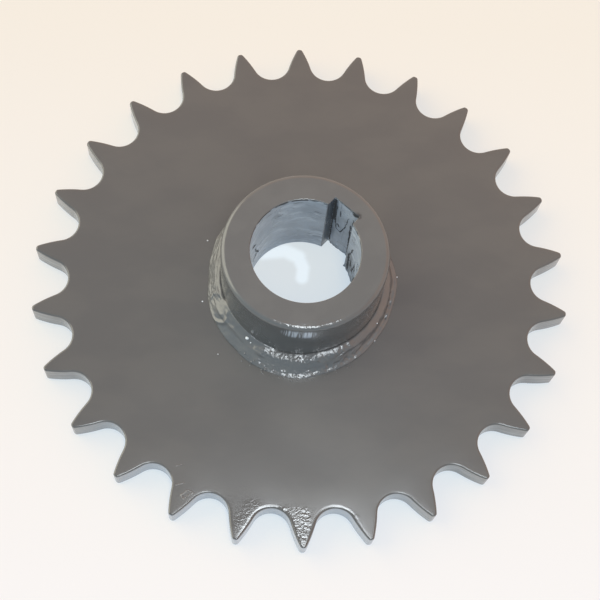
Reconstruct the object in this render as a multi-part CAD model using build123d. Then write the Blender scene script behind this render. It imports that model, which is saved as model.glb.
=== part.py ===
"""Chain sprocket for a 3/4 in pitch roller chain: a flat toothed plate on a stepped hub.

The plate is cut from flat stock and slides over the hub's spigot as far as the shoulder.
A fillet weld, laid in runs, joins the shoulder to the plate's front face.

Row frame: the origin is on the bore's axis, at the flat back face that the sprocket lies on.
+Z runs along the bore towards the hub's nose. The keyway, and one tooth, point along +Y.
"""

from build123d import *
from math import degrees, pi, sin, sqrt, tan
import os

# --- Chain: the sizes that the teeth have to suit
PITCH = 19.05  # 3/4 in, from one roller's centre to the next
ROLLER_D = 11.91
TEETH = 26

# --- Tooth form
SEAT_FACTOR = 0.505  # the seat's radius as a share of the roller's diameter
SEAT_ANGLE = 132.7  # how far each roller seat wraps round its roller
FLANK_R = 42.0  # convex flank, from the seat to the tip
TIP_FACTOR = 0.6  # sets the outside diameter, as a share of the pitch
EDGE_BREAK = 0.35  # the deburred edge round both faces of the plate

# --- Toothed plate
PLATE_T = 8.0

# --- Hub
BORE_D = 33.34  # 1 5/16 in
HUB_D = 50.8  # 2 in bar
HUB_RISE = 24.4  # how far the hub's nose stands in front of the plate
HUB_CHAMFER = 1.5
SHOULDER_W = 3.15  # the step that the plate seats against
SPIGOT_CLEARANCE = 0.05  # all round, between the spigot and the plate's hole
BACK_CHAMFER = 0.6  # lead-in at the spigot's back edge

# --- Keyway
KEYWAY_W = 9.53  # 3/8 in
KEYWAY_DEPTH = 3.18  # 1/8 in, measured at the keyway's side

# --- Fillet weld: start and sweep of each run, then its legs on the plate and up the hub
WELD_RUNS = [
    (182.0, 64.0, 4.0, 4.6),
    (248.0, 94.0, 6.4, 4.2),
    (344.0, 72.0, 4.2, 3.4),
    (58.0, 122.0, 5.0, 4.0),
]

# --- Worked out from the sizes above
PITCH_R = PITCH / 2 / sin(pi / TEETH)
OUTSIDE_R = PITCH / 2 * (TIP_FACTOR + 1 / tan(pi / TEETH))
SEAT_R = SEAT_FACTOR * ROLLER_D
ROOT_R = PITCH_R - SEAT_R
BORE_R = BORE_D / 2
HUB_R = HUB_D / 2
SPIGOT_R = HUB_R - SHOULDER_W
HUB_LENGTH = PLATE_T + HUB_RISE
KEYWAY_FLOOR = sqrt(BORE_R**2 - (KEYWAY_W / 2) ** 2) + KEYWAY_DEPTH  # from the axis
ON_THE_FLOOR = (Align.CENTER, Align.CENTER, Align.MIN)


def gullet():
    """The space that one roller drops into, centred on +X and open past the teeth's tips."""
    flank_length = 1.5 * (OUTSIDE_R - ROOT_R)
    with BuildSketch() as space:
        with BuildLine():
            seat = CenterArc((PITCH_R, 0), SEAT_R, 180, SEAT_ANGLE / 2)
            flank = JernArc(seat @ 1, seat % 1, FLANK_R, -degrees(flank_length / FLANK_R))
            mouth = Line(flank @ 1, ((flank @ 1).X, 0))
            Line(mouth @ 1, seat @ 0)
        make_face()
        mirror(about=Plane.XZ)
    return space.sketch


def tooth_plate():
    """The plate, with a gullet for every roller and its edges broken."""
    outline = Circle(OUTSIDE_R) - [turn * gullet() for turn in PolarLocations(0, TEETH)]
    plate = extrude(outline, PLATE_T)
    plate = chamfer(plate.faces().filter_by(Axis.Z).edges(), EDGE_BREAK)
    return plate - Cylinder(SPIGOT_R + SPIGOT_CLEARANCE, PLATE_T, align=ON_THE_FLOOR)


def hub():
    """The turned hub: spigot, shoulder and chamfered nose, bored through and keyed."""
    with BuildPart() as body:
        with BuildSketch(Plane.XZ):
            with BuildLine():
                Polyline(
                    (BORE_R, 0),
                    (SPIGOT_R - BACK_CHAMFER, 0),
                    (SPIGOT_R, BACK_CHAMFER),
                    (SPIGOT_R, PLATE_T),
                    (HUB_R, PLATE_T),
                    (HUB_R, HUB_LENGTH - HUB_CHAMFER),
                    (HUB_R - HUB_CHAMFER, HUB_LENGTH),
                    (BORE_R, HUB_LENGTH),
                    close=True,
                )
            make_face()
        revolve(axis=Axis.Z)
        with BuildSketch():
            Rectangle(KEYWAY_W, KEYWAY_FLOOR, align=(Align.CENTER, Align.MIN))
        extrude(amount=HUB_LENGTH, mode=Mode.SUBTRACT)
    return body.part


def weld_run(start, sweep, plate_leg, hub_leg):
    """One run of the fillet weld: its section turned about the hub, and rounded off at both ends."""
    corner = Vector(HUB_R, 0, PLATE_T)
    low_toe = corner + Vector(plate_leg, 0, 0)
    high_toe = corner + Vector(0, 0, hub_leg)
    section = make_face(Polyline(corner, low_toe, high_toe, close=True))
    corner_line = Axis(corner, (0, 0, 1))
    first_end = revolve(section, corner_line, -180)
    last_end = Rot(0, 0, sweep) * revolve(section, corner_line, 180)
    return Rot(0, 0, start) * (revolve(section, Axis.Z, sweep) + first_end + last_end)


def weld_bead():
    """All the runs, each started on the end of the one before, outside the hub's wall."""
    runs = [weld_run(*run) for run in WELD_RUNS]
    return runs[0] + runs[1:] - Cylinder(HUB_R, HUB_LENGTH, align=ON_THE_FLOOR)


os.makedirs("parts", exist_ok=True)
for name, build in (("tooth_plate", tooth_plate), ("hub", hub), ("weld_bead", weld_bead)):
    export_step(build(), f"parts/{name}.step")
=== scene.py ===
# %% [markdown]
# # A welded chain sprocket
# A sprocket like this is three pieces of steel under one coat of grey enamel. A toothed plate is
# cut from flat stock, a turned hub is pushed into its middle, and a fillet weld holds the two.
# The CAD model fixes every size. Here each piece is dressed: its edges get the roundness that
# thick paint gives them, the weld gets its ripples, and the enamel its gloss.

# %% Load the frame and note the CAD model's box
from math import acos, asin, atan2, cos, degrees, exp, hypot, pi, radians, sin, sqrt, tan
from random import Random

import bmesh
import bpy
from mathutils import Matrix, Vector, bvhtree, noise


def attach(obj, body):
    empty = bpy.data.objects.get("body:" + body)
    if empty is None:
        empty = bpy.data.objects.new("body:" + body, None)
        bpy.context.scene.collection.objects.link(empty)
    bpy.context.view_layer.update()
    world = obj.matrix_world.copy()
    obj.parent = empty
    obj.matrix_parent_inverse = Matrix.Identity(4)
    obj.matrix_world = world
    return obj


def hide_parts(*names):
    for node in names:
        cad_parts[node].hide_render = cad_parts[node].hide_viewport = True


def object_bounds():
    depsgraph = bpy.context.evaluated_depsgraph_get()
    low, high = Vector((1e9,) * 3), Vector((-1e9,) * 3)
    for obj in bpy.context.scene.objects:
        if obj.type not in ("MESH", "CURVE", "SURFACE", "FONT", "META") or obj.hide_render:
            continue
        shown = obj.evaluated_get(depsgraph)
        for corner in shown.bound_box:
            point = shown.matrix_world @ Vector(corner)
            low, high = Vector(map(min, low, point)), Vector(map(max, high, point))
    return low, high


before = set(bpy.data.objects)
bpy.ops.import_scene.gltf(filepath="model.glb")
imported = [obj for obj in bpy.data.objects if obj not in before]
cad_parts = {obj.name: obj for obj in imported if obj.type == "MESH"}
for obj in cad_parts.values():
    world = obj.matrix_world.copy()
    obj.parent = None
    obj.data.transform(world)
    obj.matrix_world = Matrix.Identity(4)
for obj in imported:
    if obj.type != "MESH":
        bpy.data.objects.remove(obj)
cad_low, cad_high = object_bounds()
scene = bpy.context.scene
MM = 0.001  # Blender works in metres, a machinist in millimetres
cad_size = [round((high - low) / MM, 2) for low, high in zip(cad_low, cad_high)]
print(len(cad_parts), "CAD nodes in a box of", cad_size, "mm")

# %% [markdown]
# ## The camera
# A long lens looks down at the sprocket from about 21 degrees off straight above. The hub's nose
# is much nearer than the plate, so it looks larger, and the viewer sees a little of its wall, some
# of the bore and the near sides of the teeth. A camera could be aimed with a Track To constraint,
# but plain angles keep its small roll as well.

# %% Camera
CAMERA_PLACE = (86.592, -129.816, 394.219)  # mm from the bore's axis and the flat back
CAMERA_TURN = (20.9699, -2.9254, 41.139)  # degrees about X, Y and Z
CAMERA_LENS, CAMERA_SENSOR = 79.36, 36  # mm
CAMERA_SEES = (0.01, 50)  # m, from the nearest to the farthest


def link(name, data):
    """A new object in the scene."""
    made = bpy.data.objects.new(name, data)
    scene.collection.objects.link(made)
    return made


camera_data = bpy.data.cameras.new("camera")
camera_data.lens = CAMERA_LENS
camera_data.sensor_width = CAMERA_SENSOR
camera_data.clip_start, camera_data.clip_end = CAMERA_SEES
camera = link("camera", camera_data)
camera.location = Vector(CAMERA_PLACE) * MM
camera.rotation_euler = [radians(angle) for angle in CAMERA_TURN]
scene.camera = camera
print("camera is", round(camera.location.length / MM), "mm from the origin")

# %% Directions as the viewer sees them, the first two along the floor
VIEW_TURN = radians(41.54)
RIGHT = Vector((cos(VIEW_TURN), sin(VIEW_TURN), 0))
AWAY = Vector((-sin(VIEW_TURN), cos(VIEW_TURN), 0))
UP = Vector((0, 0, 1))
print("away from the viewer is", [round(v, 3) for v in AWAY])

# %% [markdown]
# ## Helpers for every piece
# A bmesh is a mesh that operators can work on. `finish_piece` turns a finished bmesh into an
# object: it merges doubles, points the faces outwards, and shades them smooth except at corners.
# A Weighted Normal modifier then keeps the big flat faces flat right up to their rounded edges.
# `round_off` rolls a radius along edges, as a coat of paint does, and `sharp_edges` finds them.

# %% Helper: finish a piece
CORNER = radians(50)  # edges that bend more than this are shaded as corners
MERGE = 0.002 * MM  # points nearer than this are one point


def finish_piece(name, bm, replaced, materials):
    """Makes the object, rides it on the part's body, and hides the CAD node it stands for."""
    bmesh.ops.remove_doubles(bm, verts=bm.verts, dist=MERGE)
    bmesh.ops.recalc_face_normals(bm, faces=bm.faces)
    open_edges = sum(len(edge.link_faces) != 2 for edge in bm.edges)
    mesh = bpy.data.meshes.new(name)
    bm.to_mesh(mesh)
    bm.free()
    mesh.shade_smooth()
    mesh.set_sharp_from_angle(angle=CORNER)
    for material in materials:
        mesh.materials.append(material)
    piece = link(name, mesh)
    piece.modifiers.new("flat faces stay flat", "WEIGHTED_NORMAL").keep_sharp = True
    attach(piece, "root")
    if replaced:
        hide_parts(replaced)
    print(name, "has", len(mesh.polygons), "faces and", open_edges, "open edges")


# %% Helpers: sort geometry, round off edges, drag a point round
SHARP = radians(28)  # edges that bend more than this are rounded off


def only(kind, geom):
    """The vertices, edges or faces out of what an operator gives back."""
    return [item for item in geom if isinstance(item, kind)]


def sharp_edges(bm):
    """Edges whose two faces meet at more than the SHARP angle."""
    bmesh.ops.recalc_face_normals(bm, faces=bm.faces)
    joined = [edge for edge in bm.edges if len(edge.link_faces) == 2]
    return [edge for edge in joined if edge.calc_face_angle(0) > SHARP]


def round_off(bm, edges, radius, segments=3):
    """Rolls a radius along the edges."""
    bmesh.ops.bevel(
        bm, geom=edges, offset=radius * MM, offset_type="OFFSET", affect="EDGES",
        segments=segments, profile=0.5, material=-1, clamp_overlap=True,
    )


def drag_round(bm, vert, centre, angle, steps):
    """Drags a vertex round a centre, given in mm, and gives the vertex at the far end."""
    made = bmesh.ops.spin(
        bm, geom=[vert], cent=Vector(centre) * MM, axis=UP, angle=angle, steps=steps
    )
    return only(bmesh.types.BMVert, made["geom_last"])[0]


# %% [markdown]
# ## The toothed plate
# Each gap between two teeth is a roller seat, a little larger than the chain's roller, that runs
# into two long convex flanks and stops at the outside circle. The whole outline could be typed in
# as points, but spinning draws it better: one vertex is dragged round the seat's centre, then
# round the flank's centre, then along the tip. That half gap is mirrored, and turned round the
# axis once for each tooth. Two extrusions, pulled on to circles, fill the plate inwards with tidy
# radial faces, and a third gives it its thickness. Then the paint's roundness is rolled along the
# rims.

# %% Sizes of the teeth and the plate, mm
PITCH = 19.05  # from roller to roller
TEETH = 26
ROLLER = 11.91  # across a roller
SEAT_RADIUS = 0.505 * ROLLER
SEAT_HALF_ANGLE = radians(132.7 / 2)
FLANK_RADIUS = 42.0
SEAT_STEPS, FLANK_STEPS = 9, 6
PITCH_RADIUS = PITCH / 2 / sin(pi / TEETH)
OUTSIDE_RADIUS = PITCH / 2 * (0.6 + 1 / tan(pi / TEETH))
THICKNESS = 8.0  # of the plate
HOLE_RADIUS = 22.3  # where the hub's spigot goes through
WEB_RADIUS = 66.0  # a ring of edges just inside the teeth, for tidy faces
PLATE_EDGE, PLATE_EDGE_STEPS = 0.6, 4  # how round the paint leaves the plate's rims
print("pitch circle", round(2 * PITCH_RADIUS, 2), "outside", round(2 * OUTSIDE_RADIUS, 2), "mm")

# %% Half a gap: the seat, the flank and half of the tooth's tip
plate_bm = bmesh.new()
seat_bottom = plate_bm.verts.new(Vector((PITCH_RADIUS - SEAT_RADIUS, 0, 0)) * MM)
seat_end = drag_round(plate_bm, seat_bottom, (PITCH_RADIUS, 0, 0), -SEAT_HALF_ANGLE, SEAT_STEPS)
outwards = (seat_end.co / MM - Vector((PITCH_RADIUS, 0, 0))).normalized()
flank_centre = seat_end.co / MM + outwards * FLANK_RADIUS
apart = flank_centre.length
to_tip = acos((FLANK_RADIUS**2 + apart**2 - OUTSIDE_RADIUS**2) / (2 * FLANK_RADIUS * apart))
flank_sweep = to_tip - (-flank_centre).angle(-outwards)
tip_start = drag_round(plate_bm, seat_end, flank_centre, flank_sweep, FLANK_STEPS)
tip_sweep = pi / TEETH - atan2(tip_start.co.y, tip_start.co.x)
drag_round(plate_bm, tip_start, (0, 0, 0), tip_sweep, 1)
print("flank turns", round(degrees(flank_sweep), 2), "degrees, tip is",
      round(2 * tip_sweep * OUTSIDE_RADIUS, 2), "mm wide")

# %% The whole outline: the other half of the gap, then every gap
half_gap = plate_bm.verts[:] + plate_bm.edges[:]
bmesh.ops.mirror(plate_bm, geom=half_gap, axis="Y", merge_dist=MERGE)
bmesh.ops.spin(
    plate_bm, geom=plate_bm.verts[:] + plate_bm.edges[:], cent=(0, 0, 0), axis=UP,
    angle=2 * pi * (TEETH - 1) / TEETH, steps=TEETH - 1, use_duplicate=True,
)
bmesh.ops.remove_doubles(plate_bm, verts=plate_bm.verts, dist=MERGE)
print("outline has", len(plate_bm.verts), "points")

# %% Fill it inwards to the hole, and give it its thickness


def pull(bm, rim, radius=None, height=0.0):
    """Extrudes a rim of edges to a height, and on to a circle if a radius is given, in mm."""
    made = bmesh.ops.extrude_edge_only(bm, edges=rim)["geom"]
    for vert in only(bmesh.types.BMVert, made):
        vert.co.z = height * MM
        if radius:
            vert.co.xy = vert.co.xy.normalized() * radius * MM
    return [edge for edge in only(bmesh.types.BMEdge, made) if len(edge.link_faces) == 1]


rim = plate_bm.edges[:]
for radius in (WEB_RADIUS, HOLE_RADIUS):
    rim = pull(plate_bm, rim, radius)
made = bmesh.ops.extrude_face_region(plate_bm, geom=plate_bm.faces[:])["geom"]
top = only(bmesh.types.BMVert, made)
bmesh.ops.translate(plate_bm, verts=top, vec=UP * THICKNESS * MM)
round_off(plate_bm, sharp_edges(plate_bm), PLATE_EDGE, PLATE_EDGE_STEPS)
print("plate has", len(plate_bm.faces), "faces so far")

# %% [markdown]
# ## The hub
# The hub is turned from bar: a spigot that goes through the plate, a shoulder that seats on it,
# and a chamfered nose. Then it is bored, and a keyway is broached along the whole bore. A lathe's
# profile spun round the axis could make the outside. The bore isn't round any more once it has its
# keyway, so its outline is drawn flat instead, pulled up to the nose and out over the profile, and
# bridged at the back. The paint rolls so thickly over the nose that its chamfer looks round, so one
# wide bevel of many segments stands for both, and every other edge gets a narrow one.

# %% Sizes of the hub, mm
BORE_RADIUS = 33.34 / 2
HUB_RADIUS = 50.8 / 2
SPIGOT_RADIUS = 22.25
HUB_LENGTH = 32.4
NOSE_ROUND, NOSE_STEPS = 1.5, 9  # the chamfer and the paint over it, as one radius
BACK_CHAMFER = 0.6
KEYWAY_WIDTH = 9.53
KEYWAY_DEPTH = 3.18  # at its side
KEYWAY_SIDE = sqrt(BORE_RADIUS**2 - (KEYWAY_WIDTH / 2) ** 2)  # where it opens into the bore
KEYWAY_FLOOR = KEYWAY_SIDE + KEYWAY_DEPTH
HUB_EDGE = 0.3  # how round the paint leaves its other edges
PAINT_LIP = 0.9  # how far up the bore the ragged paint reaches from the back
HUB_PROFILE = [  # radius and height, from the nose's face over the outside to the back
    (HUB_RADIUS, HUB_LENGTH), (HUB_RADIUS, THICKNESS), (SPIGOT_RADIUS, THICKNESS),
    (SPIGOT_RADIUS, BACK_CHAMFER), (SPIGOT_RADIUS - BACK_CHAMFER, 0),
]
print("keyway's floor is", round(KEYWAY_FLOOR, 2), "mm from the axis")

# %% The bore's outline with its keyway, drawn flat at the back
BORE_STEPS = 192
KEYWAY_STEPS = 16  # across its floor


def chain(bm, points):
    """Vertices at these points, in mm, joined by edges one after another."""
    verts = [bm.verts.new(Vector(point) * MM) for point in points]
    return [bm.edges.new(pair) for pair in zip(verts, verts[1:])]


hub_bm = bmesh.new()
corner_angle = asin(KEYWAY_WIDTH / 2 / BORE_RADIUS)
bore_corner = hub_bm.verts.new(Vector((KEYWAY_WIDTH / 2, KEYWAY_SIDE, 0)) * MM)
drag_round(hub_bm, bore_corner, (0, 0, 0), -2 * (pi - corner_angle), BORE_STEPS)
across = [KEYWAY_WIDTH * (step / KEYWAY_STEPS - 0.5) for step in range(KEYWAY_STEPS + 1)]
floor_line = [(x, KEYWAY_FLOOR, 0) for x in across]
chain(hub_bm, [(across[0], KEYWAY_SIDE, 0), *floor_line, (across[-1], KEYWAY_SIDE, 0)])
bmesh.ops.remove_doubles(hub_bm, verts=hub_bm.verts, dist=MERGE)
bore_outline = hub_bm.edges[:]
print("bore outline has", len(bore_outline), "edges")

# %% Pull it up to the nose, then out, down and back in along the profile
hub_rim = pull(hub_bm, bore_outline, height=PAINT_LIP)
hub_rim = pull(hub_bm, hub_rim, height=HUB_LENGTH)
for radius, height in HUB_PROFILE:
    hub_rim = pull(hub_bm, hub_rim, radius, height)
bmesh.ops.bridge_loops(hub_bm, edges=hub_rim + bore_outline)


def on_nose(edge):
    """True for the ring of edges where the nose's face meets the wall."""
    middle = (edge.verts[0].co + edge.verts[1].co) / 2 / MM
    return middle.z > HUB_LENGTH - 0.1 and middle.xy.length > HUB_RADIUS - 0.5


nose_edges = [edge for edge in sharp_edges(hub_bm) if on_nose(edge)]
round_off(hub_bm, nose_edges, NOSE_ROUND, NOSE_STEPS)
round_off(hub_bm, sharp_edges(hub_bm), HUB_EDGE)
print("hub has", len(hub_bm.faces), "faces so far")

# %% Ragged paint at the back edge, and a burr at the keyway's top
RAGGED = (28, 102)  # azimuths between which the paint hangs ragged
RAG_LENGTH, RAG_DEPTH = 0.95, 1.0  # mm: of a rag round the bore, and out from it
BURR_LENGTH, BURR_DEPTH = 0.7, 0.16  # mm
BURR_BAND = (0.4, 0.05)  # mm below the nose's face
ragged = 0
for vert in hub_bm.verts:
    spot = vert.co / MM
    azimuth = degrees(atan2(spot.y, spot.x))
    if spot.xy.length > KEYWAY_FLOOR + 1.2 or not RAGGED[0] < azimuth < RAGGED[1]:
        continue
    inwards = -Vector((spot.x, spot.y, 0)).normalized()
    around = radians(azimuth) * BORE_RADIUS
    if spot.z < PAINT_LIP - 0.1:
        torn = max(0.0, 0.25 + noise.noise((around / RAG_LENGTH, 3.0, 0.0)))
        fade = 1 - spot.z / PAINT_LIP
        vert.co += inwards * torn * fade * RAG_DEPTH * MM
        ragged += 1
    elif BURR_BAND[0] > HUB_LENGTH - spot.z > BURR_BAND[1] and spot.y > KEYWAY_SIDE:
        vert.co += inwards * noise.noise(spot / BURR_LENGTH) * BURR_DEPTH * MM
print(ragged, "points moved at the back edge")

# %% [markdown]
# ## The weld
# The hub was welded to the plate by hand in five runs, each started on the tail of the one before.
# One run is a lathe's section turned part of the way round the hub and rounded off at both ends.
# How far it reaches over the plate and up the hub changes as the hand moved, so the spun section is
# stretched to two short tables. The runs overlap, and a voxel Remesh melts them into one skin, as
# the arc did. Only then is the surface worked: ripples, stringy ridges and a crater need a mesh
# that is fine and even, and that skin is.

# %% How far the weld reaches at each azimuth, in degrees and mm
TOE_RADIUS = [  # on the plate, from the axis
    (0, 30.3), (12, 30.2), (24, 29.9), (42, 30.4), (57, 29.9), (75, 30.0), (110, 30.3),
    (150, 30.1), (180, 30.5), (192, 30.6), (207, 29.7), (222, 29.3), (236, 30.2), (248, 30.7),
    (267, 31.0), (282, 32.0), (297, 32.5), (309, 32.7), (327, 31.6), (345, 30.9), (360, 30.3),
]
TOE_HEIGHT = [  # up the hub, from the plate
    (0, 4.2), (12, 3.8), (30, 3.3), (60, 3.2), (80, 3.9), (170, 4.1), (190, 4.5), (240, 4.7),
    (262, 4.6), (280, 3.6), (293, 3.2), (309, 3.5), (325, 4.3), (339, 4.6), (352, 4.4), (360, 4.2),
]


def read(table, at):
    """Reads a table of pairs at a value between its rows."""
    for (low, first), (high, second) in zip(table, table[1:]):
        if low <= at <= high:
            share = (at - low) / (high - low)
            return first + (second - first) * share * share * (3 - 2 * share)
    return table[-1][1]


print("weld is", round(read(TOE_RADIUS, 309) - HUB_RADIUS, 1), "mm wide at most")

# %% The runs' sections, as shares of their reach outwards and upwards
CROWNED = [
    (1.03, -0.08), (1.0, 0.05), (0.87, 0.24), (0.67, 0.50), (0.44, 0.76), (0.2, 0.95),
    (0.04, 1.0), (-0.08, 1.0),
]
SKIRTED = [
    (1.02, -0.08), (1.0, 0.04), (0.92, 0.13), (0.8, 0.17), (0.71, 0.14), (0.67, 0.16),
    (0.65, 0.34), (0.56, 0.6), (0.4, 0.81), (0.2, 0.96), (0.04, 1.0), (-0.08, 1.0),
]
TWO_STEPS = [
    (1.02, -0.08), (0.98, 0.03), (0.86, 0.1), (0.73, 0.2), (0.62, 0.38), (0.5, 0.62),
    (0.39, 0.84), (0.29, 0.95), (0.15, 1.0), (0.02, 1.02), (-0.06, 1.02),
]
STRAIGHT = [
    (1.03, -0.08), (1.0, 0.04), (0.84, 0.22), (0.64, 0.40), (0.44, 0.6), (0.26, 0.8),
    (0.1, 1.0), (0.0, 1.14), (-0.07, 1.22),
]
HIDDEN_CORNER = (-0.07, -0.08)  # behind the hub's wall and under the plate's face
WELD_RUNS = [  # azimuth where it starts, degrees it sweeps, section
    (338, 78, SKIRTED),
    (58, 122, CROWNED),
    (246, 42, STRAIGHT),
    (286, 58, TWO_STEPS),
    (182, 64, CROWNED),
]
print(len(WELD_RUNS), "runs")

# %% Spin, stretch and round off each run
WELD_STEP = 2.0  # degrees
SPIN_RADIUS = 10  # of the flat section, before it is stretched to the hub
END_SIZE = 0.06  # how much of the section is left at the very end of a run


def weld_run(bm, start, sweep, section):
    """One run as a closed shell round the hub."""
    tail = degrees((read(TOE_RADIUS, start % 360) - HUB_RADIUS) / HUB_RADIUS)
    first, last = start - tail, start + sweep + tail
    fresh = bmesh.new()
    verts = [fresh.verts.new((out, 0, up)) for out, up in [*section, HIDDEN_CORNER]]
    outline = fresh.faces.new(verts)
    bmesh.ops.spin(
        fresh, geom=[outline, *outline.edges, *verts], cent=(-SPIN_RADIUS, 0, 0), axis=UP,
        angle=radians(last - first), steps=round((last - first) / WELD_STEP),
    )
    for vert in fresh.verts:
        turned = atan2(vert.co.y, vert.co.x + SPIN_RADIUS) % (2 * pi)
        share = hypot(vert.co.x + SPIN_RADIUS, vert.co.y) - SPIN_RADIUS
        azimuth = first + degrees(turned if turned < 2 * pi - 0.01 else 0)
        to_end = min(azimuth - first, last - azimuth) / tail
        dome = sqrt(max(0.0, 1 - (1 - min(1, to_end)) ** 2)) * (1 - END_SIZE) + END_SIZE
        reach = (read(TOE_RADIUS, azimuth % 360) - HUB_RADIUS) * dome
        height = read(TOE_HEIGHT, azimuth % 360) * dome
        radius = HUB_RADIUS + share * reach
        vert.co = Vector((
            radius * cos(radians(azimuth)), radius * sin(radians(azimuth)),
            THICKNESS + vert.co.z * height,
        )) * MM
    bmesh.ops.recalc_face_normals(fresh, faces=fresh.faces)
    shell = bpy.data.meshes.new("run")
    fresh.to_mesh(shell)
    fresh.free()
    bm.from_mesh(shell)
    bpy.data.meshes.remove(shell)


weld_bm = bmesh.new()
for run in WELD_RUNS:
    weld_run(weld_bm, *run)
print("the runs have", len(weld_bm.faces), "faces")

# %% Melt them into one skin
WELD_VOXEL = 0.26  # mm
WELD_SMOOTHINGS = 4


def melted(bm, voxel):
    """The bmesh's closed shells joined into one even skin of small quads."""
    mesh = bpy.data.meshes.new("melting")
    bm.to_mesh(mesh)
    bm.free()
    lump = link("melting", mesh)
    rounded = lump.modifiers.new("rounded", "SUBSURF")
    rounded.levels = rounded.render_levels = 1
    remesh = lump.modifiers.new("one skin", "REMESH")
    remesh.mode = "VOXEL"
    remesh.voxel_size = voxel * MM
    bpy.context.view_layer.update()
    seen = lump.evaluated_get(bpy.context.evaluated_depsgraph_get())
    skin = bmesh.new()
    skin.from_mesh(bpy.data.meshes.new_from_object(seen))
    bpy.data.objects.remove(lump)
    return skin


weld_bm = melted(weld_bm, WELD_VOXEL)
for _ in range(WELD_SMOOTHINGS):
    bmesh.ops.smooth_vert(
        weld_bm, verts=weld_bm.verts, factor=0.5, use_axis_x=True, use_axis_y=True, use_axis_z=True
    )
print("one skin has", len(weld_bm.faces), "faces")

# %% Where the surface is worked, and how much
FACE_WIDTH = 6.0  # mm from the toe up the bead's face to the hub, near enough
LUMPS = ((3.5, 0.14), (1.1, 0.04))  # all over: how long and how high they are, mm
STRINGY, LEDGED, LUMPY = (184, 236, 8), (254, 284, 8), (287, 345, 8)  # azimuths, and how soft
RIPPLED, CREASED = (62, 176, 10), (338, 33, 8)
LUMPY_STEPS = ((0.75, 0.15), (1.6, 0.16))
STRINGS, FINE_STRINGS, CUTS = 0.26, 0.14, 0.13  # mm high, and deep
LEDGE, LEDGE_UP, LEDGE_WIDTH = 0.26, 0.62, 0.09  # mm high, and shares of the way up the face
RIPPLE, CRESCENTS = 1.9, 0.24  # mm from one crescent to the next, and high
CREASE_OUT, CREASE_WIDTH, CREASE = 3.05, 0.36, 0.34  # mm from the hub, wide and deep
CRATER = (243.5, 0.5)  # its middle: azimuth, and share of the way up the face
CRATER_SIZE = (5.0, 2.85)  # half of its length and of its width, mm
CRATER_RING, CRATER_SINK, CRATER_RIDGE = 0.27, 0.17, 0.2  # mm high, deep and high
RELIEF_DEPTH = 0.35  # mm, how far the skin may sink into the plate


def window(azimuth, low, high, soft):
    """1 between two azimuths, falling to 0 over a few degrees outside them."""
    half = ((high - low) % 360) / 2
    middle = low + half
    away = abs((azimuth - middle + 180) % 360 - 180) - half
    share = min(1.0, max(0.0, 1 - away / soft))
    return share * share * (3 - 2 * share)


def ridge(away, width):
    """1 along a line, and less and less away from it."""
    return exp(-((away / width) ** 2))


def lumps(place, sizes):
    """Random lumps of one or more sizes, each a length and a height."""
    return sum(noise.noise(place / length) * height for length, height in sizes)


# %% Ridges, ledges, ripples and the stop crater


def weld_relief(azimuth, up_share, radius, place):
    """How far the surface stands out of the plain bead there, in mm."""
    along = radians(azimuth) * radius
    face = window(up_share * 100, 8, 92, 10)  # 0 at toe and top
    relief = lumps(place, LUMPS)
    # stringy ridges along the left run
    strings = noise.noise((along / 7, up_share * 5.5, 2.0))
    fine = noise.noise((along / 2.2, up_share * 11, 5.0))
    cut = ridge(strings, 0.055)
    strung = STRINGS * strings + FINE_STRINGS * fine - CUTS * cut
    relief += window(azimuth, *STRINGY) * face * strung
    # a low wavy ledge after the crater
    ledge = ridge(up_share - LEDGE_UP - 0.1 * strings, LEDGE_WIDTH)
    relief += window(azimuth, *LEDGED) * (LEDGE * ledge + 0.07 * noise.noise(place / 1.5))
    # lumpy ledge and toe on the widest run, smooth between
    steps = window(up_share * 100, 68, 130, 8) + window(up_share * 100, -40, 31, 9)
    relief += window(azimuth, *LUMPY) * steps * lumps(place, LUMPY_STEPS)
    # regular crescents on the far side
    bowed = along + 1.5 * (2 * up_share - 1) ** 2
    crescents = abs(sin(pi * bowed / RIPPLE)) - 0.64
    relief += window(azimuth, *RIPPLED) * face * crescents * CRESCENTS
    # the crease where a crowned run sits on its own skirt
    wander = 0.5 * noise.noise((along / 2.2, 8.0, 0.0))
    from_crease = HUB_RADIUS + CREASE_OUT - wander - radius
    uneven = 0.5 + 1.3 * abs(noise.noise((along / 2.4, 3.0, 4.0)))
    relief -= window(azimuth, *CREASED) * CREASE * uneven * ridge(from_crease, CREASE_WIDTH)
    # the crater where the left run stopped
    apart = (azimuth - CRATER[0] + 180) % 360 - 180
    crater_along = radians(apart) * radius
    crater_across = (up_share - CRATER[1]) * FACE_WIDTH
    rim = hypot(crater_along / CRATER_SIZE[0], crater_across / CRATER_SIZE[1])
    if rim < 2:
        ring = CRATER_RING + 0.05 * sin(pi * crater_along / (2 * CRATER_SIZE[0] + 1))
        uneven = 1 + 0.5 * noise.noise(place / 1.2)
        relief += ring * uneven * ridge(rim - 1, 0.15)
        relief -= CRATER_SINK * max(0.0, 1 - rim**2)
        relief += CRATER_RIDGE * ridge(crater_across, 0.5) * max(0.0, 1 - rim)
    return relief


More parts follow.
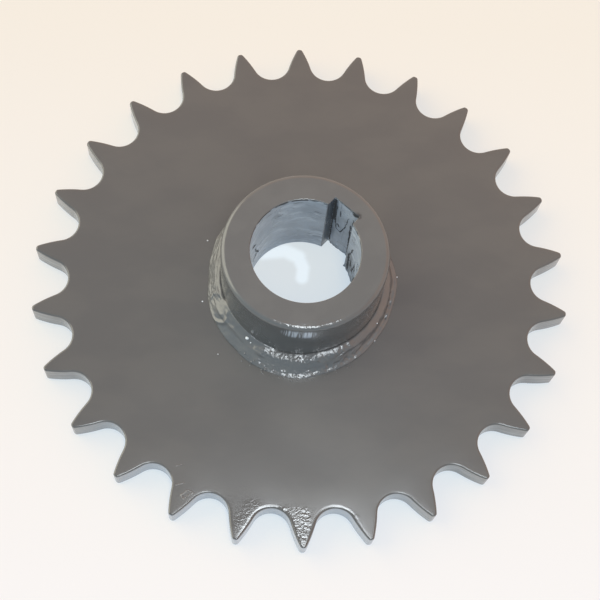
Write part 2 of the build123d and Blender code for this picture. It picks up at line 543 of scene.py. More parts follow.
# %% Move every point of the skin by its relief
weld_bm.normal_update()
moves = []
for vert in weld_bm.verts:
    radius = hypot(vert.co.x, vert.co.y)
    azimuth = degrees(atan2(vert.co.y, vert.co.x)) % 360
    out = (radius / MM - HUB_RADIUS) / (read(TOE_RADIUS, azimuth) - HUB_RADIUS)
    up = (vert.co.z / MM - THICKNESS) / read(TOE_HEIGHT, azimuth)
    up_share = atan2(max(up, 0), max(out, 0.001)) / (pi / 2)
    showing = min(1.0, max(0.0, out * 4)) * min(1.0, max(0.0, up * 6))
    relief = weld_relief(azimuth, up_share, radius / MM, vert.co / MM) * showing
    moves.append((vert, vert.normal * relief * MM))
for vert, move in moves:
    vert.co += move
    vert.co.z = max(vert.co.z, (THICKNESS - RELIEF_DEPTH) * MM)
print("relief is up to", round(max(move.length for _, move in moves) / MM, 2), "mm")

# %% [markdown]
# ## The enamel
# One coat of grey enamel covers all three pieces. Up close it isn't one flat grey. It is a little
# thinner here and there, it has the wrinkles that painters call orange peel, and a brush leaves
# fine grooves. Each of those effects is a node group with named inputs, built once and placed in
# every paint with that piece's own values. The groups only put out colours, masks and heights in
# mm. The shader itself stays in each material, with a high IOR for the wet-looking gloss.

# %% Helpers: empty a node tree, and add a node


def new_tree(owner):
    """The node tree of a material or a world, emptied."""
    owner.use_nodes = True
    owner.node_tree.nodes.clear()
    return owner.node_tree


def add(kind, inputs, **settings):
    """Adds a node, sets its properties, and feeds its inputs from values or sockets."""
    fed = [value for value in inputs.values() if isinstance(value, bpy.types.NodeSocket)]
    tree = fed[0].id_data
    node = tree.nodes.new(kind)
    for name, value in settings.items():
        setattr(node, name, value)
    for name, value in inputs.items():
        socket = node.inputs[name]
        if value in fed:
            tree.links.new(value, socket)
        else:
            socket.default_value = (*value, 1) if socket.type == "RGBA" else value
    return node


# %% Helpers: one node each


def sums(operation, first, second=0.0):
    """One Math node."""
    return add("ShaderNodeMath", {0: first, 1: second}, operation=operation).outputs[0]


def times(first, second):
    """One number times another, or a mask made weaker."""
    return sums("MULTIPLY", first, second)


def vectors(operation, first, second, output="Vector"):
    """One Vector Math node."""
    made = add("ShaderNodeVectorMath", {0: first, 1: second}, operation=operation)
    return made.outputs[output]


def measure(place, axis):
    """How far a place lies along an axis."""
    return vectors("DOT_PRODUCT", place, axis, "Value")


def scaled(vector, scale):
    """A vector made longer or shorter."""
    made = add("ShaderNodeVectorMath", {0: vector, "Scale": scale}, operation="SCALE")
    return made.outputs["Vector"]


def noisy(place, scale, detail, roughness=0.5, output="Fac"):
    """Soft random lumps, one of them about 1 / scale long."""
    inputs = {"Vector": place, "Scale": scale, "Detail": detail, "Roughness": roughness}
    return add("ShaderNodeTexNoise", inputs).outputs[output]


def ramp(value, low, high, to_low=0.0, to_high=1.0, shape="SMOOTHSTEP"):
    """A step from one value to another, smooth unless a LINEAR one is asked for."""
    inputs = {"Value": value, "From Min": low, "From Max": high, "To Min": to_low, "To Max": to_high}
    return add("ShaderNodeMapRange", inputs, interpolation_type=shape).outputs["Result"]


def blend(share, first, second):
    """A mix of two colours."""
    made = add("ShaderNodeMix", {"Factor": share, "A": first, "B": second}, data_type="RGBA")
    return made.outputs["Result"]


# %% Helpers for node groups


def new_group(name, inputs, outputs):
    """A node group with named sockets, and what it is given."""
    print("group:", name)
    tree = bpy.data.node_groups.new(name, "ShaderNodeTree")
    for in_out, sockets in (("INPUT", inputs), ("OUTPUT", outputs)):
        for label, kind in sockets.items():
            tree.interface.new_socket(label, in_out=in_out, socket_type="NodeSocket" + kind)
    return tree, tree.nodes.new("NodeGroupInput").outputs


def place_group(group, inputs):
    """Places a node group and gives its outputs."""
    return add("ShaderNodeGroup", inputs, node_tree=group).outputs


# %% Group: the enamel's mottle, gloss and orange peel
enamel, given = new_group(
    "enamel",
    {"Place": "Vector", "Colour": "Color", "Thin Colour": "Color", "Mottle Size": "Float",
     "Peel Size": "Float", "Peel Depth": "Float", "Glossy": "Float", "Dull": "Float"},
    {"Colour": "Color", "Roughness": "Float", "Height": "Float"},
)
coarse = vectors("DIVIDE", given["Place"], given["Mottle Size"])
thin = ramp(noisy(coarse, 1.0, 3.0), 0.36, 0.66)
wiped = noisy(coarse, 0.45, 2.0)
fine = vectors("DIVIDE", given["Place"], given["Peel Size"])
beads = times(noisy(fine, 2.3, 1.0), 0.32)
both = sums("ADD", noisy(fine, 1.0, 1.5), beads)
both = sums("SUBTRACT", both, 0.66)  # its middle, so that no depth lifts the coat
add("NodeGroupOutput", {
    "Colour": blend(thin, given["Colour"], given["Thin Colour"]),
    "Roughness": ramp(wiped, 0.35, 0.65, given["Glossy"], given["Dull"], "LINEAR"),
    "Height": times(both, given["Peel Depth"]),
})

# %% Group: grooves that a brush or a broach draws
grooves, given = new_group(
    "drawn_grooves",
    {"Place": "Vector", "Stretch": "Vector", "From": "Float", "To": "Float"},
    {"Mask": "Float"},
)
stretched = vectors("MULTIPLY", given["Place"], given["Stretch"])
lines = noisy(stretched, 1.0, 3.0, 0.6)
add("NodeGroupOutput", {"Mask": ramp(lines, given["From"], given["To"])})

# %% Group: one scratch, nick or chip, from a start to an end
scratch, given = new_group(
    "scratch", {"Place": "Vector", "Start": "Vector", "End": "Vector", "Width": "Float"},
    {"Mask": "Float"},
)
offset = vectors("SUBTRACT", given["Place"], given["Start"])
length = vectors("SUBTRACT", given["End"], given["Start"])
share = sums("DIVIDE", measure(offset, length), measure(length, length))
share = add("ShaderNodeClamp", {"Value": share}).outputs["Result"]
away = vectors("DISTANCE", offset, scaled(length, share), "Value")
core = times(given["Width"], 0.35)  # the part of its width that is quite gone
add("NodeGroupOutput", {"Mask": ramp(away, given["Width"], core)})

# %% What every paint starts and ends with
PAINT = (0.085, 0.081, 0.077)
THIN_PAINT = (0.094, 0.089, 0.083)
PAINT_IOR = 1.8
print("paint colour", PAINT)


def start_paint(name):
    """A new material, and the place on the piece in mm."""
    print("paint:", name)
    material = bpy.data.materials.new(name)
    place = new_tree(material).nodes.new("ShaderNodeTexCoord").outputs["Object"]
    return material, scaled(place, 1 / MM)


def end_paint(colour, roughness, height):
    """The shader and the output, with the heights in mm turned into a bump."""
    bump = add("ShaderNodeBump", {"Height": height, "Distance": MM})
    shader = add("ShaderNodeBsdfPrincipled", {
        "Base Color": colour, "Roughness": roughness, "IOR": PAINT_IOR,
        "Normal": bump.outputs["Normal"],
    })
    add("ShaderNodeOutputMaterial", {"Surface": shader.outputs["BSDF"]})


# %% Helpers: scratches and grooves


def wobbled(place, size, reach):
    """The place pushed about a little, so that a straight scratch turns ragged."""
    push = noisy(place, 1 / size, 2.0, output="Color")
    push = vectors("SUBTRACT", push, (0.5, 0.5, 0.5))
    return vectors("ADD", place, scaled(push, reach))


def all_scratches(place, scratches):
    """One mask out of many scratches, each a start, an end and a width in mm."""
    total = None
    for start, end, width in scratches:
        inputs = {"Place": place, "Start": start, "End": end, "Width": width}
        mask = place_group(scratch, inputs)["Mask"]
        total = mask if total is None else sums("MAXIMUM", total, mask)
    return total


def strokes(points, widths):
    """Scratches from each point to the next, with a width for each of them."""
    return list(zip(points, points[1:], widths))


def all_grooves(place, stretch, low, high):
    """A mask of grooves, long where the stretch is small, and few of them if low is high."""
    inputs = {"Place": place, "Stretch": stretch, "From": low, "To": high}
    return place_group(grooves, inputs)["Mask"]


# %% [markdown]
# ## The plate's paint
# The plate is the calm part: a flat sheet of satin grey. It was hung up to dry, so the wet paint ran
# to the lowest teeth and wrinkled there. A mask of a few soft patches turns the orange peel's depth
# up in those places and its roughness down, and each wrinkle flashes where it mirrors the lamp. The
# cut sides are paler and bluer than the faces. This is partly thinner paint and partly a painted
# reflection of the pale floor, strongest near the middle of the view. On the left and right the
# sides are darker, and the lines of the cut show through. Towards the rims the coat falls away in a
# wide soft curve, most where it is thick, which puts a bright line along the nearest gaps. A few
# shallow marks are left on one tooth, as if something was pressed into the paint before it was dry.

# %% The plate's coat, wrinkled and glossy where it ran together
DRAINED = [  # where the wet paint ran to and wrinkled: a line, and its reach
    ((49.2, -57.8, 8), (53.0, -65.0, 8), 5.4), ((44.0, -59.0, 8), (48.2, -55.6, 8), 2.6),
]
SPECKLED = [  # the same on the teeth beside, but finer and thinner
    ((37.9, -68.4, 8), (37.3, -64.6, 8), 5.4), ((57.5, -47.5, 8), (60.5, -46.0, 8), 2.6),
]
CALM_PEEL, SPECKLED_PEEL, DRAINED_PEEL = 0.002, 0.024, 0.088  # mm
SPECKLED_GLOSS, DRAINED_GLOSS = 0.45, 0.62  # how much of its roughness is lost there
SQUEEZE = 0.45  # the wrinkles lie across the viewer's sight, so they are squeezed along RIGHT

plate_paint, place = start_paint("enamel_plate")
soft_place = wobbled(place, 4.0, 4.0)
drained = all_scratches(soft_place, DRAINED)
speckled = all_scratches(soft_place, SPECKLED)
depth = ramp(drained, 0.0, 1.0, CALM_PEEL, DRAINED_PEEL)
speckle = ramp(speckled, 0.0, 1.0, 0.0, SPECKLED_PEEL)
squeeze = scaled(RIGHT, measure(place, RIGHT * -SQUEEZE))
coat = place_group(enamel, {
    "Place": vectors("ADD", place, squeeze), "Colour": PAINT, "Thin Colour": THIN_PAINT,
    "Mottle Size": 11.0, "Peel Size": 0.7, "Peel Depth": sums("MAXIMUM", depth, speckle),
    "Glossy": 0.15, "Dull": 0.2,
})
wet = sums("MINIMUM", times(drained, -DRAINED_GLOSS), times(speckled, -SPECKLED_GLOSS))
rough = times(coat["Roughness"], sums("ADD", wet, 1.0))
print(len(DRAINED + SPECKLED), "wrinkled patches on the plate")

# %% The cut sides, and the marks on one tooth
# The sides' pale bluish colour is partly thinner paint and partly a painted reflection of the pale
# floor.
SIDE_PAINT_AND_FLOOR_SHEEN = (0.39, 0.405, 0.435)
SIDE_FADE = (0.1, 0.6)  # mm from either face, over which the side's colour comes in
OUTER_SIDE_PAINT, OUTER_SIDE_LINES = (0.215, 0.195, 0.177), (0.36, 0.338, 0.315)
CUT_LINES = (0.1, 0.1, 1.2), 0.42, 0.62  # their stretch, and how few of them show
SHEEN_MIDDLE = -14.0  # mm along RIGHT, where the painted floor sheen on the sides is strongest
SHEEN_FADE = (24.0, 60.0)  # mm to the left and right of there, over which the painted sheen gives way to the outer colour
MARK_LOOP = [
    (18.5, -75.2, 8), (19.0, -72.8, 8), (20.7, -72.4, 8), (19.7, -75.7, 8), (18.5, -75.2, 8),
]
TOOTH_MARKS = strokes(MARK_LOOP, [0.3] * 4) + [
    ((15.3, -74.0, 8), (16.7, -72.0, 8), 0.24), ((11.5, -69.6, 8), (12.5, -68.4, 8), 0.22),
]
SCUFFED = (0.36, 0.36, 0.37)
MARK_HEIGHT = 0.15  # mm

height_up = measure(place, UP)
from_top = sums("SUBTRACT", THICKNESS, height_up)
cut_side = times(ramp(from_top, *SIDE_FADE), ramp(height_up, *SIDE_FADE))
aside = sums("SUBTRACT", measure(place, RIGHT), SHEEN_MIDDLE)
off_sheen = ramp(sums("ABSOLUTE", aside), *SHEEN_FADE)
cut_lines = all_grooves(place, *CUT_LINES)
outer_side_colour = blend(times(cut_lines, 0.6), OUTER_SIDE_PAINT, OUTER_SIDE_LINES)
# painted reflection: the sides are paler and bluer near the middle of the view, and darker with the
# cut's lines to the left and right
colour = blend(cut_side, coat["Colour"], blend(off_sheen, SIDE_PAINT_AND_FLOOR_SHEEN, outer_side_colour))
marks = all_scratches(wobbled(place, 0.8, 0.7), TOOTH_MARKS)
colour = blend(times(marks, 0.32), colour, SCUFFED)
height = sums("ADD", coat["Height"], times(marks, MARK_HEIGHT))
print(len(TOOTH_MARKS), "marks on one tooth")

# %% How the plate's coat falls away at the rims
RIM_REACH, RIM_CURVE = 1.3, 7.0  # mm: how wide the fall is, and its radius
THICK_RIM = [((37.0, -61.5, 8), (56.0, -48.5, 8), 15.0)]  # where the coat is thick enough to sag
THIN_FALL = 0.12  # the share of the fall that is left elsewhere
FLANK_CENTRE = (flank_centre.x, abs(flank_centre.y), 0)
SEAT_END_LINE = (sin(SEAT_HALF_ANGLE), cos(SEAT_HALF_ANGLE), 0)  # the flank lies beyond it

# fold the place into one half gap, and measure how far it is from the seat and from the flank
x, y = (measure(place, axis) for axis in ((1, 0, 0), (0, 1, 0)))
turned = sums("PINGPONG", sums("ARCTAN2", y, x), pi / TEETH)
out = vectors("LENGTH", vectors("MULTIPLY", place, (1, 1, 0)), (0, 0, 0), "Value")
folded = add("ShaderNodeCombineXYZ", {
    "X": times(out, sums("COSINE", turned)),
    "Y": times(out, sums("SINE", turned)),
}).outputs["Vector"]
from_seat = vectors("DISTANCE", folded, (PITCH_RADIUS, 0, 0), "Value")
from_seat = sums("SUBTRACT", from_seat, SEAT_RADIUS)
from_flank = vectors("DISTANCE", folded, FLANK_CENTRE, "Value")
from_flank = sums("SUBTRACT", FLANK_RADIUS, from_flank)
beyond = sums("GREATER_THAN", measure(folded, SEAT_END_LINE), PITCH_RADIUS * SEAT_END_LINE[0])
to_flank = times(beyond, sums("SUBTRACT", from_flank, from_seat))
from_rim = sums("ADD", from_seat, to_flank)
near_rim = sums("MAXIMUM", sums("SUBTRACT", RIM_REACH, from_rim), 0.0)
fall = times(times(near_rim, near_rim), 0.5 / RIM_CURVE)
thick = ramp(all_scratches(place, THICK_RIM), 0.0, 1.0, THIN_FALL, 1.0)
height = sums("SUBTRACT", height, times(fall, thick))
end_paint(colour, rough, height)
print("the coat falls by up to", round(RIM_REACH**2 / 2 / RIM_CURVE, 2), "mm at a rim")

# %% [markdown]
# ## The hub's paints
# One part of the wall was brushed up and down. Its upright grooves are bumps, and pale streaks along
# them are a painted reflection of the weld's glints. On the roll of the nose above it the paint
# dried uneven. Inside the bore the paint is thinner, dragged round by the brush, with dark nicks
# where it missed. Its lighter, bluer colour is painted light, standing for the cool light that
# reaches in there. In the keyway the broach's upright scratches show through, with some looped ones,
# and a chip at one corner has lost its paint. The chip's dark reaches on past it as painted shade
# under the keyway's wall.

# %% The hub's outside
BARE = (0.030, 0.029, 0.030)  # dark steel where the paint is gone
# a real chip, with its dark reaching past it as painted shade under the keyway's wall
CHIP_AND_SHADE = [((3.2, 19.2, 31.2), (4.5, 19.1, 32.0), 1.5)]
BRUSHED = [((13.2, -21.7, 28.2), (17.6, -18.3, 28.2), 3.4)]  # the part of the wall with upright grooves and painted reflection streaks
PAINTED_REFLECTION_STREAKS = (0.62, 0.66, 0.72)
BRUSH_LINES = (1.1, 1.1, 0.05), 0.42, 0.62
UNEVEN_NOSE = strokes([(7.1, -23.9, 31.6), (16.5, -18.6, 31.6), (22.8, -9.9, 31.6)], [2.4] * 2)
NOSE_ROLL = (30.4, 31.0)  # mm up the wall, where the roll of the nose begins
NOSE_PEEL, WALL_PEEL = 0.21, 0.005  # mm

hub_paint, place = start_paint("enamel_hub")
on_roll = ramp(measure(place, UP), *NOSE_ROLL, 0.0, NOSE_PEEL)
uneven = times(all_scratches(place, UNEVEN_NOSE), on_roll)
coat = place_group(enamel, {
    # painted light: the hub's enamel is made lighter than the plate's PAINT, for the brighter
    # reflection its face shows
    "Place": place, "Colour": (0.103, 0.102, 0.100), "Thin Colour": (0.111, 0.110, 0.107),
    "Mottle Size": 7.0, "Peel Size": 2.1, "Peel Depth": sums("ADD", uneven, WALL_PEEL),
    "Glossy": 0.13, "Dull": 0.18,
})
grooves_and_reflection = times(all_grooves(place, *BRUSH_LINES), all_scratches(place, BRUSHED))
# the chip is bare steel, and partly painted shade from the keyway's wall
chip_and_shade = all_scratches(wobbled(place, 0.8, 0.9), CHIP_AND_SHADE)
# painted reflection: pale streaks along the grooves stand for the weld's glints mirrored in the
# wall; the grooves' bump is real
colour = blend(times(grooves_and_reflection, 0.9), coat["Colour"], PAINTED_REFLECTION_STREAKS)
colour = blend(chip_and_shade, colour, BARE)
height = sums("ADD", coat["Height"], times(grooves_and_reflection, 0.07))
end_paint(colour, coat["Roughness"], height)

# %% The bore
# painted light: the bore's enamel is made lighter and bluer for the cool light that reaches into the
# bore
BORE_PAINT_IN_COOL_LIGHT = (0.235, 0.275, 0.325)
BORE_THIN_IN_COOL_LIGHT = (0.33, 0.38, 0.44)
PALE_STROKES, DARK_STROKES = (0.52, 0.57, 0.62), (0.045, 0.055, 0.070)
PALE_LINES, DARK_LINES = ((0.1, 0.1, 0.5), 0.5, 0.66), ((0.22, 0.22, 1.1), 0.6, 0.69)
BORE_NICKS = [
    ((-15.7, -5.6, 19.2), (-16.2, -3.8, 17.6), 0.65), ((-15.9, -5.1, 6.7), (-16.4, -3.2, 9.2), 0.59),
    ((-16.2, -3.9, 14.2), (-16.6, -2.0, 8.4), 0.46), ((-16.0, 4.7, 23.5), (-15.1, 7.0, 24.0), 0.31),
    ((6.1, 15.5, 11.5), (6.6, 15.3, 1.7), 0.78), ((7.8, 14.8, 10.0), (7.8, 14.7, 6.4), 0.65),
    ((8.9, 14.1, 5.2), (9.9, 13.4, 12.0), 0.53), ((9.9, 13.4, 15.6), (10.6, 12.8, 9.0), 0.40),
    ((11.7, 11.9, 8.0), (10.9, 12.6, 3.0), 0.62), ((7.5, 14.9, 18.6), (6.4, 15.4, 12.4), 0.40),
    ((11.8, 11.8, 21.0), (12.2, 11.4, 14.0), 0.31),
]
SCORED = [((6.4, 15.4, 2.0), (7.4, 14.9, 12.0), 3.2), ((10.6, 12.8, 2.0), (10.2, 13.1, 9.0), 4.6)]
SCORED_PAINT, SCORE_LINES = (0.055, 0.070, 0.085), ((1.3, 1.3, 0.22), 0.42, 0.55)
WORN_RIM = (31.2, 31.9)  # mm up the bore, where its paint begins to wear through

bore_paint, place = start_paint("enamel_bore")
coat = place_group(enamel, {
    "Place": place, "Colour": BORE_PAINT_IN_COOL_LIGHT, "Thin Colour": BORE_THIN_IN_COOL_LIGHT, "Mottle Size": 7.0,
    "Peel Size": 2.0, "Peel Depth": 0.02, "Glossy": 0.22, "Dull": 0.36,
})
bent_place = wobbled(place, 6.0, 5.0)
pale = all_grooves(bent_place, *PALE_LINES)
dark = all_grooves(bent_place, *DARK_LINES)
nicks = all_scratches(wobbled(place, 1.1, 1.3), BORE_NICKS)
scored = all_grooves(wobbled(place, 1.5, 0.8), *SCORE_LINES)
scored = times(scored, all_scratches(place, SCORED))
colour = blend(times(pale, 0.8), coat["Colour"], PALE_STROKES)
colour = blend(times(dark, 0.7), colour, DARK_STROKES)
colour = blend(times(scored, 0.95), colour, SCORED_PAINT)
colour = blend(nicks, colour, BARE)
patchy = ramp(noisy(place, 0.35, 3.0), 0.36, 0.5)
worn_rim = times(ramp(measure(place, UP), *WORN_RIM), patchy)
colour = blend(worn_rim, colour, BARE)
bare = sums("MAXIMUM", nicks, worn_rim)
rough = sums("ADD", coat["Roughness"], times(bare, 0.5))
rough = sums("ADD", rough, times(dark, 0.2))
height = sums("ADD", coat["Height"], times(pale, 0.03))
height = sums("SUBTRACT", height, times(nicks, 0.06))
end_paint(colour, rough, height)
print(len(BORE_NICKS), "nicks in the bore")

# %% The keyway
KEYWAY_LINES = [  # on its floor: x and z where each starts and where it ends, and its width, mm
    (-3.4, 28.2, -3.5, 19.9, 0.32), (-3.4, 19.9, -2.6, 13.2, 0.32), (-2.6, 13.2, -0.9, 12.4, 0.30),
    (-0.9, 12.4, 0.6, 18.0, 0.27), (0.6, 18.0, 1.3, 25.7, 0.24), (-2.0, 26.2, -1.7, 22.8, 0.32),
    (-2.2, 17.0, -1.6, 15.2, 0.38), (-3.4, 16.5, -2.2, 15.9, 0.32), (-4.5, 31.0, -4.4, 2.0, 0.42),
    (2.5, 22.0, 3.2, 1.0, 0.34), (3.2, 27.0, 2.9, 12.0, 0.24), (-4.3, 31.4, -4.0, 18.0, 0.85),
    (-2.6, 32.0, 4.6, 32.0, 0.3),
]
LINES_DEEP = 19.15  # mm from the axis, at the floor
KEYWAY_SCRATCHES = [
    ((x, LINES_DEEP, z), (end_x, LINES_DEEP, end_z), width)
    for x, z, end_x, end_z, width in KEYWAY_LINES
]
BROACHED, KEYWAY_SIDES = (0.045, 0.050, 0.058), (0.045, 0.052, 0.062)
BROACH_LINES = (1.5, 2.3, 0.05), 0.54, 0.68

keyway_paint, place = start_paint("enamel_keyway")
coat = place_group(enamel, {
    "Place": place, "Colour": BORE_PAINT_IN_COOL_LIGHT, "Thin Colour": BORE_THIN_IN_COOL_LIGHT, "Mottle Size": 4.0,
    "Peel Size": 1.6, "Peel Depth": 0.02, "Glossy": 0.24, "Dull": 0.4,
})
drawn = all_grooves(place, *BROACH_LINES)
ragged_place = wobbled(place, 0.9, 0.8)
scratched = all_scratches(ragged_place, KEYWAY_SCRATCHES)
# the chip is bare steel, and partly painted shade from the keyway's wall
chip_and_shade = all_scratches(ragged_place, CHIP_AND_SHADE)
# the two side walls are darker than the floor, with more bare steel drawn through them
side = sums("LESS_THAN", measure(place, (0, 1, 0)), KEYWAY_FLOOR - 0.15)
worn = sums("ADD", 0.32, times(side, 0.6))
colour = blend(times(drawn, worn), coat["Colour"], BROACHED)
colour = blend(times(side, 0.76), colour, KEYWAY_SIDES)
bare = sums("MAXIMUM", scratched, chip_and_shade)
colour = blend(bare, colour, BARE)
rough = sums("ADD", coat["Roughness"], times(bare, 0.5))
height = sums("SUBTRACT", coat["Height"], times(drawn, 0.04))
height = sums("SUBTRACT", height, times(scratched, 0.05))
end_paint(colour, rough, height)
print(len(KEYWAY_SCRATCHES), "scratches in the keyway")

# %% [markdown]
# ## The weld's paint
# The same enamel runs thick over the bead. It follows every lump of the metal, and on the viewer's
# side it dried in fine beads, which make the tiny sparkles along the two lumpy ledges there.

# %% The weld's paint
BEADED_SPAN = (13.0, 24.0)  # mm from the axis towards the viewer, over which the beads come in
BEADS = (0.014, 0.042)  # mm deep, before that and after it

weld_paint, place = start_paint("enamel_weld")
beaded = ramp(measure(place, -AWAY), *BEADED_SPAN, *BEADS)
coat = place_group(enamel, {
    "Place": place, "Colour": (0.108, 0.107, 0.108), "Thin Colour": (0.120, 0.117, 0.114),
    "Mottle Size": 3.0, "Peel Size": 0.5, "Peel Depth": beaded, "Glossy": 0.13, "Dull": 0.24,
})
end_paint(coat["Colour"], coat["Roughness"], coat["Height"])

# %% [markdown]
# ## Nibs in the paint, and spatter
# Dust and drops dry on the coat as tiny pale domes. They are too small to matter to the shape, but
# the eye finds them. Their near-white colour is partly their own and partly a painted highlight for
# the glint each one catches. Welding also threw drops of steel about the toe of the widest run, and
# the coat went over them. Squashed icospheres, sunk to their middles in what carries them, do for
# both. Some sit on the weld, so a ray shot straight down finds the height of the surface.

# %% The nibs' paint
nib_and_glint_paint, place = start_paint("dust_pale_and_glint")
coat = place_group(enamel, {
    # near-white: partly the dust's own colour, partly a painted highlight for each dome's glint
    "Place": place, "Colour": (0.80, 0.82, 0.85), "Thin Colour": (0.66, 0.68, 0.70),
    "Mottle Size": 0.4, "Peel Size": 0.3, "Peel Depth": 0.01, "Glossy": 0.25, "Dull": 0.4,
})
end_paint(coat["Colour"], coat["Roughness"], coat["Height"])

# %% Nibs and spatter
NIBS = [  # place in mm, and radius
    (-31.1, -9.7, 0.2), (-18.3, -26.05, 0.22), (-3.0, -35.6, 0.18), (0.9, -26.6, 0.55),
    (21.6, 21.3, 0.2), (30.1, 0.1, 0.2), (2.6, -26.9, 0.2), (27.3, 4.2, 0.2),
]
SPATTER = 64
SPATTER_AZIMUTHS = (266, 342, 303)  # from, to, and where it is thickest
SPATTER_REACH, SPATTER_SIZE = (-1.4, 0.9), (0.14, 0.34)  # mm from the toe, and radius
SQUASH = (1, 1, 0.6)
RAY_START = 40  # mm up, above everything
weld_surface = bvhtree.BVHTree.FromBMesh(weld_bm)
nib_bm = bmesh.new()


def add_dome(x, y, radius, slot, levels):
    """A squashed ball, sunk to its middle in what lies under that place, in mm."""
    hit = weld_surface.ray_cast(Vector((x, y, RAY_START)) * MM, -UP)[0]
    z = hit.z / MM if hit and hit.z > THICKNESS * MM else THICKNESS
    made = bmesh.ops.create_icosphere(nib_bm, subdivisions=levels, radius=radius * MM)["verts"]
    bmesh.ops.scale(nib_bm, verts=made, vec=SQUASH)
    bmesh.ops.translate(nib_bm, verts=made, vec=Vector((x, y, z)) * MM)
    for face in {face for vert in made for face in vert.link_faces}:
        face.material_index = slot


for x, y, radius in NIBS:
    add_dome(x, y, radius, 0, 3)
draws = Random(11)
for _ in range(SPATTER):
    azimuth = draws.triangular(*SPATTER_AZIMUTHS)
    far_out = read(TOE_RADIUS, azimuth) + draws.uniform(*SPATTER_REACH)
    x, y = far_out * cos(radians(azimuth)), far_out * sin(radians(azimuth))
    add_dome(x, y, draws.uniform(*SPATTER_SIZE), 1, 2)
print(len(NIBS), "nibs and", SPATTER, "drops of spatter")

# %% Finish the pieces
HUB_PAINTS = [hub_paint, bore_paint, keyway_paint]
for face in hub_bm.faces:
    middle = face.calc_center_median() / MM
    if abs(face.normal.z) > 0.7:
        continue  # it lies flat, so it has the paint of the hub's outside
    if middle.y > KEYWAY_SIDE - 0.05 and middle.xy.length < KEYWAY_FLOOR + 1:
        face.material_index = HUB_PAINTS.index(keyway_paint)
    elif middle.xy.length < BORE_RADIUS + 0.2:
        face.material_index = HUB_PAINTS.index(bore_paint)

finish_piece("sprocket_plate", plate_bm, "tooth_plate", [plate_paint])
finish_piece("sprocket_hub", hub_bm, "hub", HUB_PAINTS)
finish_piece("sprocket_weld", weld_bm, "weld_bead", [weld_paint])
finish_piece("paint_nibs", nib_bm, None, [nib_and_glint_paint, weld_paint])

# %% [markdown]
# ## The floor
# The sprocket lies on a plain pale surface. A white diffuse floor would need a lot of light to look
# white, and that light would wash out the grey paint. So what the camera and the reflections see is
# half a plain glow and half an ordinary lit surface, which keeps the soft shadow under the teeth.
# The glow is cool and the lit half is warm, so a shadow turns slightly blue, as it does where warm
# lamps are blocked and daylight isn't. The light it throws back on to the sprocket is cool too. The
# bore's wall throws a soft curl of light on the floor, and a few wide blurred strokes draw it.

# %% The floor's paint
FLOOR_LIT = (0.93, 0.585, 0.23)
FLOOR_BOUNCE = (0.62, 0.70, 0.80)  # what it throws back on to the sprocket
GLOW_NEAR = (0.81, 1.04, 1.29)
GLOW_FAR = (0.77, 0.92, 1.03)
GLOW_SPAN = 0.20  # m, over which the glow turns from the near colour to the far one
GLOW_SHARE = 0.62
CURL_LINE = [(-17.6, 1.4, 0), (-12.6, 6.9, 0), (-8.0, 8.2, 0), (-4.3, 6.4, 0), (-2.3, 3.5, 0)]
CURL = strokes(CURL_LINE, [3.4, 3.4, 3.0, 2.9])  # light thrown on to the floor by the bore, mm
CURL_GLOW = 0.25

floor_paint = bpy.data.materials.new("floor_pale")
tree = new_tree(floor_paint)
place = tree.nodes.new("ShaderNodeTexCoord").outputs["Object"]
curl = times(all_scratches(scaled(place, 1 / MM), CURL), CURL_GLOW)
far = ramp(measure(place, AWAY), -GLOW_SPAN / 2, GLOW_SPAN / 2, shape="LINEAR")
path = tree.nodes.new("ShaderNodeLightPath").outputs
seen = sums("MAXIMUM", path["Is Camera Ray"], path["Is Glossy Ray"])
seen = sums("MAXIMUM", seen, path["Is Transmission Ray"])
lit = add("ShaderNodeBsdfDiffuse", {"Color": blend(seen, FLOOR_BOUNCE, FLOOR_LIT)})
tint = blend(far, GLOW_NEAR, GLOW_FAR)
glow = add("ShaderNodeEmission", {"Color": tint, "Strength": sums("ADD", curl, 1.0)})
share = times(seen, GLOW_SHARE)
both = add("ShaderNodeMixShader", {0: share, 1: lit.outputs[0], 2: glow.outputs[0]})
add("ShaderNodeOutputMaterial", {"Surface": both.outputs[0]})
print("the curl of light has", len(CURL), "strokes")

# %% The floor
FLOOR_RADIUS, FLOOR_SIDES = 8.0, 96  # m, far enough that no view sees its edge
FLOOR_GAP = 0.02 * MM

floor_bm = bmesh.new()
bmesh.ops.create_circle(floor_bm, cap_ends=True, segments=FLOOR_SIDES, radius=FLOOR_RADIUS)
floor_mesh = bpy.data.meshes.new("floor")
floor_bm.to_mesh(floor_mesh)
floor_bm.free()
floor_mesh.materials.append(floor_paint)
floor = link("floor", floor_mesh)
floor.location.z = -FLOOR_GAP
print("floor is", 2 * FLOOR_RADIUS, "m across")

# %% [markdown]
# ## Sky and lamp
# Most of the light is a soft sky all round, a little warmer on the far side, like a room whose
# lamps are over there. A long soft box hangs overhead and reaches towards the viewer. Its far end
# is placed so that the flat paint reflects it only on the nearest teeth, where it shows the orange
# peel, and on the edges and the weld. A round bright patch of sky on the left, like a window,
# draws a line along the nose and lights the left of the weld.

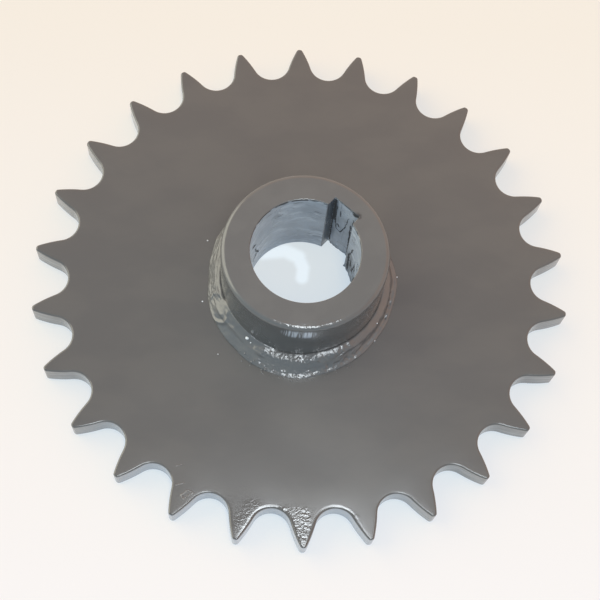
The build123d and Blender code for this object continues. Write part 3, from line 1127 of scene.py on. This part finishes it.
# %% Sky
SKY_TOP = (0.54, 0.58, 0.63)
SKY_NEAR = (0.44, 0.58, 0.68)
SKY_FAR = (1.04, 0.71, 0.55)
SKY_FAR_SIDE = AWAY * 0.9 + RIGHT * 0.8
SKY_TURN = (-0.6, 0.9)  # along that way, from all near colour to all far colour
SKY_TOP_EDGE = (0.80, 1.0)  # the same upwards, from none of the top colour to all of it
WINDOW = (2.72, 2.64, 2.22)
WINDOW_PLACE = (RIGHT * -0.800 + AWAY * 0.373 + UP * 0.469).normalized()
WINDOW_EDGE = (0.81, 0.88)  # cosines of the angles from its middle between which it fades

sky = bpy.data.worlds.new("room")
scene.world = sky
direction = new_tree(sky).nodes.new("ShaderNodeTexCoord").outputs["Generated"]
far = ramp(measure(direction, SKY_FAR_SIDE), *SKY_TURN)
high = ramp(measure(direction, UP), *SKY_TOP_EDGE)
window_share = ramp(measure(direction, WINDOW_PLACE), *WINDOW_EDGE)
tint = blend(high, blend(far, SKY_NEAR, SKY_FAR), SKY_TOP)
tint = blend(window_share, tint, WINDOW)
light = add("ShaderNodeBackground", {"Color": tint, "Strength": 1.0})
add("ShaderNodeOutputWorld", {"Surface": light.outputs[0]})
print("sky from", SKY_NEAR, "to", SKY_FAR)

# %% Lamp
LAMP_PLACE = RIGHT * 0.10 - AWAY * 0.345 + UP * 1.5  # m, and it shines at the bore's foot
LAMP_SIZE = (0.25, 1.11)  # m, the second one along AWAY
LAMP_POWER = 9.9  # W
LAMP_COLOUR = (0.88, 0.95, 1.0)

lamp_data = bpy.data.lights.new("overhead", "AREA")
lamp_data.shape = "RECTANGLE"
lamp_data.size, lamp_data.size_y = LAMP_SIZE
lamp_data.energy, lamp_data.color = LAMP_POWER, LAMP_COLOUR
lamp = link("overhead", lamp_data)
back = LAMP_PLACE.normalized()  # a lamp shines along its own -Z
side = AWAY.cross(back).normalized()
turn = Matrix((side, back.cross(side), back)).transposed()
lamp.matrix_world = Matrix.Translation(LAMP_PLACE) @ turn.to_4x4()
print("lamp hangs", round(LAMP_PLACE.length, 2), "m away")

# %% The view transform
scene.view_settings.view_transform = "Standard"
